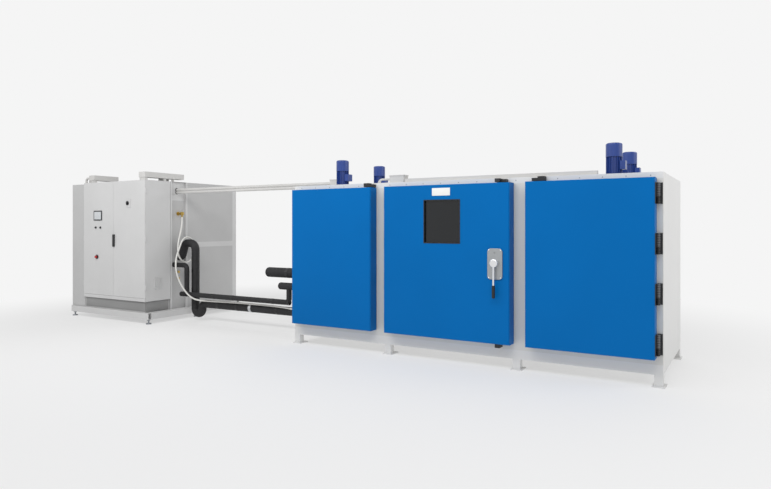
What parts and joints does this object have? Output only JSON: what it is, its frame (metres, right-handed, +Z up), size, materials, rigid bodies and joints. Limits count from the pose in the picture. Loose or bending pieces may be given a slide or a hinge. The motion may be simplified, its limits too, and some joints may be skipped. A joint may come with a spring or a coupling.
{
  "type": "environmental test chamber",
  "caption": "Walk-up thermal shock chamber with hot, test and cold compartments behind blue doors, joined by pipes, hose and conduit to a cooling and control cabinet.",
  "frame": {"origin": "on the floor, at the centre of the chamber's anchor holes", "axes": "+X along the front to the right as seen from the front, +Y to the rear, +Z up; the machine unit is on the -X side"},
  "size_m": [9.322, 2.1672, 2.375],
  "materials": {
    "white_paint": "satin light grey-white powder coat",
    "blue_paint": "satin bright blue powder coat",
    "gasket": "matt silicone rubber",
    "stainless": "ground stainless sheet",
    "dark_metal": "dark satin coated hinge castings",
    "aluminium": "mill finish",
    "insulation": "mineral wool board",
    "motor_blue": "dark blue motor enamel",
    "lock_metal": "brushed lock plate",
    "lever_chrome": "polished lever",
    "black_plastic": "fine-grained black plastic",
    "glass": "coated insulating glass, dark from outside",
    "grey_paint": "light grey textured powder coat",
    "steel": "zinc plated",
    "black_paint": "black enamel",
    "screen_plastic": "dark screen and bezels",
    "button_plastic": "moulded button caps",
    "stop_red": "red mushroom head",
    "gear_plastic": "grey device housings",
    "conduit_metal": "light grey trays and conduits",
    "pipe_foam": "black foam pipe insulation",
    "valve_brass": "plated brass fittings",
    "valve_lever": "light grey coated lever",
    "hose_plastic": "white flexible hose"
  },
  "bodies": {
    "frame_and_machine": {"air_baffles": "stainless", "base_frame": "white_paint", "cabinet_body": "grey_paint", "cable_runs": "conduit_metal", "casing_panels": "white_paint", "damper_actuators": "black_plastic", "door_switches": "black_plastic", "evaporator_coil": "aluminium", "fan_motors": "motor_blue", "foot_plates": "white_paint", "frame_hardware": "dark_metal", "front_frame": "white_paint", "heater_bank": "stainless", "hose": "hose_plastic", "insulation": "insulation", "levelling_feet": "steel", "machine_frame": "grey_paint", "machine_panels": "grey_paint", "motor_cowls": "motor_blue", "refrigerant_pipes": "pipe_foam", "refrigeration_set": "black_paint", "roof_cap": "white_paint", "shutoff_valve": "valve_brass", "specimen_rack": "stainless", "switchgear": "gear_plastic", "zone_liners": "stainless"},
    "left_door": {"door_left": "blue_paint", "door_left_liner": "stainless", "door_left_gasket": "gasket", "door_left_hinges": "dark_metal"},
    "centre_door": {"door_centre": "blue_paint", "door_centre_liner": "stainless", "door_centre_gasket": "gasket", "door_centre_hinges": "dark_metal", "window_frame": "stainless", "window_panes": "glass", "lock_plate": "lock_metal"},
    "right_door": {"door_right": "blue_paint", "door_right_liner": "stainless", "door_right_gasket": "gasket", "door_right_hinges": "dark_metal"},
    "lock_lever": {"door_lever": "lever_chrome", "lever_grip": "black_plastic"},
    "top_bolt": {"lock_bolt_top": "stainless"},
    "bottom_bolt": {"lock_bolt_bottom": "stainless"},
    "rotor_left_front": {"fan_rotor_left_front": "aluminium"},
    "rotor_left_rear": {"fan_rotor_left_rear": "aluminium"},
    "rotor_right_front": {"fan_rotor_right_front": "aluminium"},
    "rotor_right_rear": {"fan_rotor_right_rear": "aluminium"},
    "cold_damper": {"damper_cold": "stainless"},
    "hot_damper": {"damper_hot": "stainless"},
    "cabinet_left": {"cabinet_door_left": "grey_paint", "operator_panel": "screen_plastic"},
    "cabinet_right": {"cabinet_door_right": "grey_paint"},
    "handle": {"cabinet_handle": "black_plastic"},
    "left_button": {"button_left": "button_plastic"},
    "right_button": {"button_right": "button_plastic"},
    "stop_button": {"emergency_stop": "stop_red"},
    "selector": {"selector_switch": "black_plastic"},
    "valve": {"valve_lever": "valve_lever"}
  },
  "joints": [
    {"name": "left_door_hinge", "type": "hinge", "parent": "frame_and_machine", "child": "left_door", "pos_m": [-2.169, -0.845, 0.4], "axis": [0, 0, -1], "range_deg": [0, 110]},
    {"name": "centre_door_hinge", "type": "hinge", "parent": "frame_and_machine", "child": "centre_door", "pos_m": [-0.794, -0.845, 0.4], "axis": [0, 0, -1], "range_deg": [0, 110]},
    {"name": "right_door_hinge", "type": "hinge", "parent": "frame_and_machine", "child": "right_door", "pos_m": [2.179, -0.845, 0.4], "axis": [0, 0, 1], "range_deg": [0, 110]},
    {"name": "lock_lever_turn", "type": "hinge", "parent": "centre_door", "child": "lock_lever", "pos_m": [0.6, -0.95, 1.134], "axis": [0, 1, 0], "range_deg": [0, 90]},
    {"name": "top_bolt_slide", "type": "slide", "parent": "centre_door", "child": "top_bolt", "axis": [0, 0, 1], "range_m": [0, 0.0251]},
    {"name": "bottom_bolt_slide", "type": "slide", "parent": "centre_door", "child": "bottom_bolt", "axis": [0, 0, -1], "range_m": [0, 0.0251]},
    {"name": "left_front_fan", "type": "hinge", "parent": "frame_and_machine", "child": "rotor_left_front", "pos_m": [-1.684, -0.465, 1.8], "axis": [0, 0, 1], "continuous": true},
    {"name": "left_rear_fan", "type": "hinge", "parent": "frame_and_machine", "child": "rotor_left_rear", "pos_m": [-1.684, 0.445, 1.8], "axis": [0, 0, 1], "continuous": true},
    {"name": "right_front_fan", "type": "hinge", "parent": "frame_and_machine", "child": "rotor_right_front", "pos_m": [1.711, -0.465, 1.8], "axis": [0, 0, 1], "continuous": true},
    {"name": "right_rear_fan", "type": "hinge", "parent": "frame_and_machine", "child": "rotor_right_rear", "pos_m": [1.711, 0.445, 1.8], "axis": [0, 0, 1], "continuous": true},
    {"name": "cold_damper_turn", "type": "hinge", "parent": "frame_and_machine", "child": "cold_damper", "pos_m": [-1.015, 0.233, 0.2], "axis": [0, 0, -1], "range_deg": [0, 85]},
    {"name": "hot_damper_turn", "type": "hinge", "parent": "frame_and_machine", "child": "hot_damper", "pos_m": [0.979, 0.233, 0.2], "axis": [0, 0, 1], "range_deg": [0, 85]},
    {"name": "cabinet_left_hinge", "type": "hinge", "parent": "frame_and_machine", "child": "cabinet_left", "pos_m": [-6.747, -0.779, 0.56], "axis": [0, 0, -1], "range_deg": [0, 110]},
    {"name": "cabinet_right_hinge", "type": "hinge", "parent": "frame_and_machine", "child": "cabinet_right", "pos_m": [-5.184, -0.779, 0.56], "axis": [0, 0, 1], "range_deg": [0, 110]},
    {"name": "cabinet_handle_turn", "type": "hinge", "parent": "cabinet_right", "child": "handle", "pos_m": [-5.944, -0.8, 1.365], "axis": [0, -1, 0], "range_deg": [0, 90]},
    {"name": "left_button_press", "type": "slide", "parent": "cabinet_left", "child": "left_button", "axis": [0, 1, 0], "range_m": [0, 0.004], "stiffness_N_per_m": 400, "springref_m": -0.002},
    {"name": "right_button_press", "type": "slide", "parent": "cabinet_left", "child": "right_button", "axis": [0, 1, 0], "range_m": [0, 0.004], "stiffness_N_per_m": 400, "springref_m": -0.002},
    {"name": "stop_press", "type": "slide", "parent": "cabinet_left", "child": "stop_button", "axis": [0, 1, 0], "range_m": [0, 0.005], "stiffness_N_per_m": 600, "springref_m": -0.002},
    {"name": "selector_turn", "type": "hinge", "parent": "cabinet_right", "child": "selector", "pos_m": [-5.595, -0.8, 1.88], "axis": [0, 1, 0], "range_deg": [0, 90]},
    {"name": "valve_turn", "type": "hinge", "parent": "frame_and_machine", "child": "valve", "pos_m": [-5.121, -0.128, 1.77], "axis": [0, 0, 1], "range_deg": [0, 90]}
  ],
  "couplings": [
    {"joint": "top_bolt_slide", "follows": "lock_lever_turn", "m_per_rad": 0.0159},
    {"joint": "bottom_bolt_slide", "follows": "lock_lever_turn", "m_per_rad": 0.0159}
  ]
}
